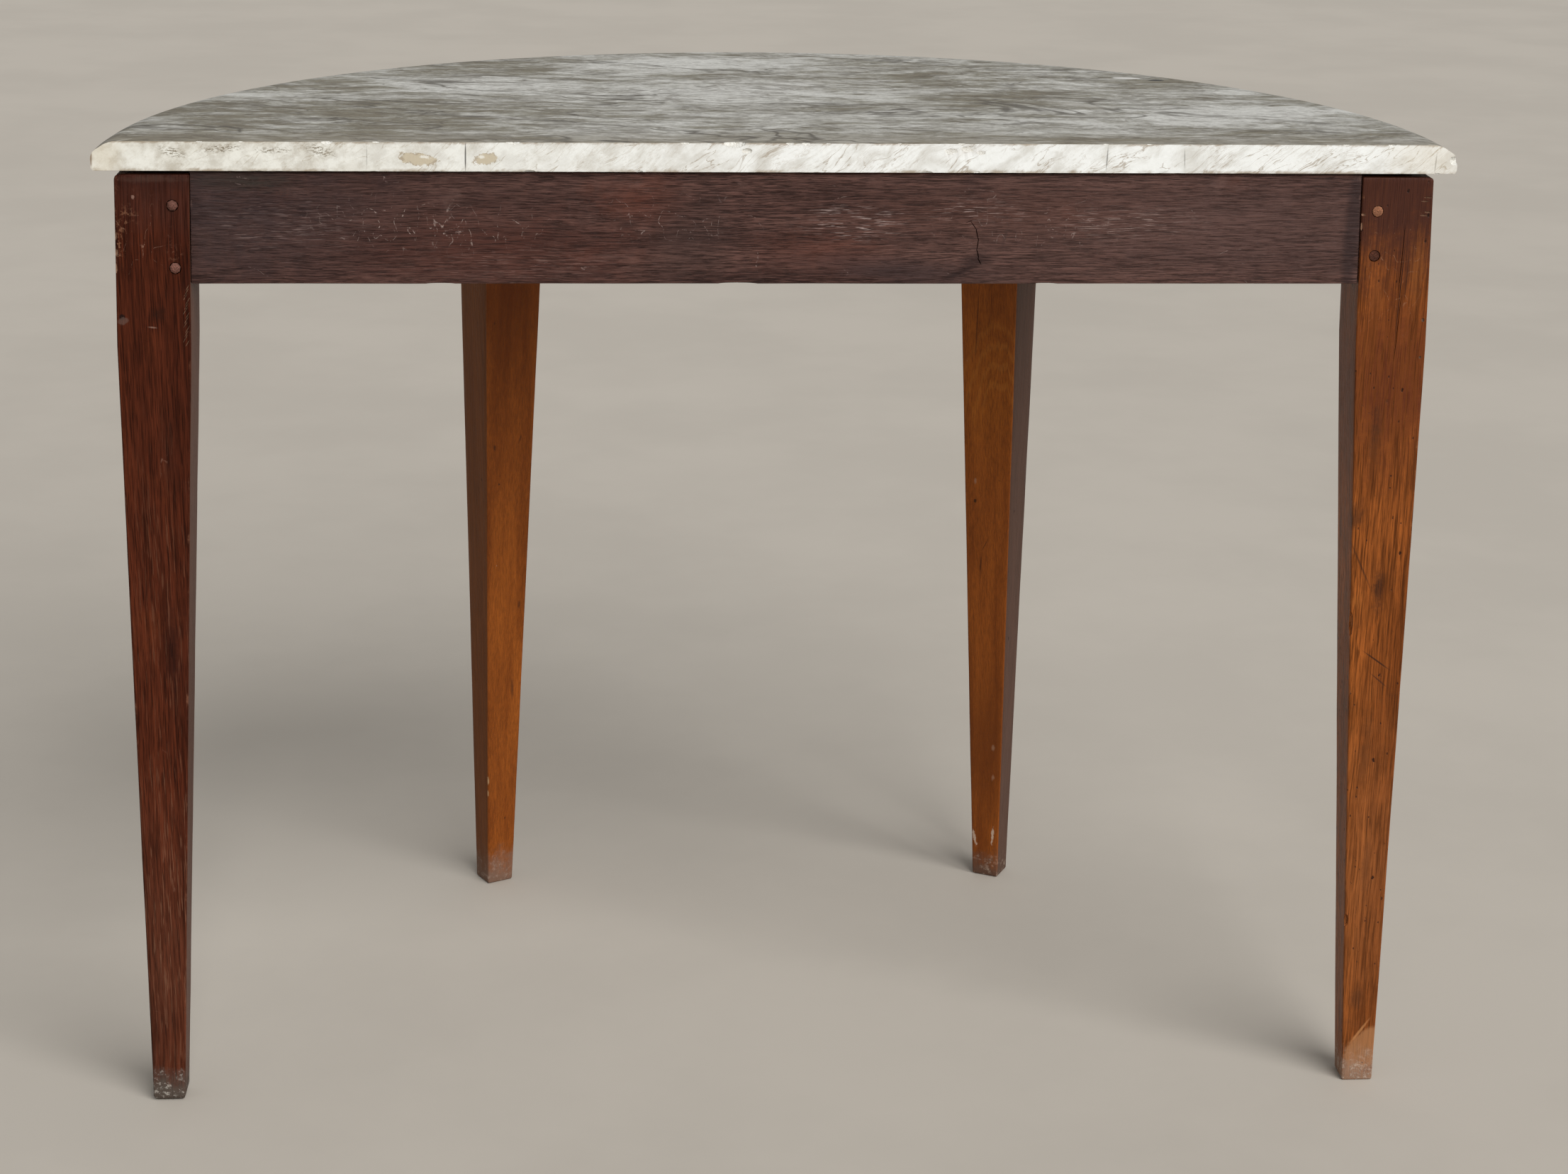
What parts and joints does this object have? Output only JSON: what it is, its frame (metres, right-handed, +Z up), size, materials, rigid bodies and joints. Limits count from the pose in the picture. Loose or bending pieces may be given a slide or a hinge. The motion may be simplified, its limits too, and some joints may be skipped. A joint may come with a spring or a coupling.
{
  "type": "demilune table",
  "caption": "Half-round side table with a loose marble slab on a pegged wooden frame: straight rail at the back, curved aprons at the front, and square tapered legs.",
  "frame": {"origin": "on the floor under the middle of the bounding box", "axes": "+Z up, +Y towards the round front, -Y towards the straight back, +X to the right seen from the straight side"},
  "size_m": [1.042, 0.5209, 0.8],
  "materials": {
    "marble": "aged, worn polish, streaked grey-olive to brown, cream edge",
    "rail wood": "dark purple-brown, open grain, scratched",
    "dark leg wood": "dark red-brown, worn at the foot",
    "worn leg wood": "orange-brown, worn, cracked and stained",
    "front leg wood": "smooth warm orange-brown",
    "apron wood": "warm brown, old polish",
    "secondary wood": "bare, unpolished",
    "dark peg wood": "end grain, dark",
    "light peg wood": "end grain, light tan"
  },
  "bodies": {
    "frame": {"back_rail": "rail wood", "bearer": "secondary wood", "front_apron": "apron wood", "left_apron": "apron wood", "right_apron": "apron wood", "back_left_leg": "dark leg wood", "back_right_leg": "worn leg wood", "front_left_leg": "front leg wood", "front_right_leg": "front leg wood", "left_upper_rail_peg": "dark peg wood", "left_lower_rail_peg": "dark peg wood", "right_upper_rail_peg": "light peg wood", "right_lower_rail_peg": "dark peg wood", "front_apron_pegs": "dark peg wood", "left_apron_pegs": "dark peg wood", "right_apron_pegs": "dark peg wood"},
    "top": {"marble_top": "marble"}
  },
  "joints": [
    {"name": "top_lift", "type": "slide", "parent": "frame", "child": "top", "axis": [0, 0, 1], "range_m": [0, 0.12]}
  ]
}
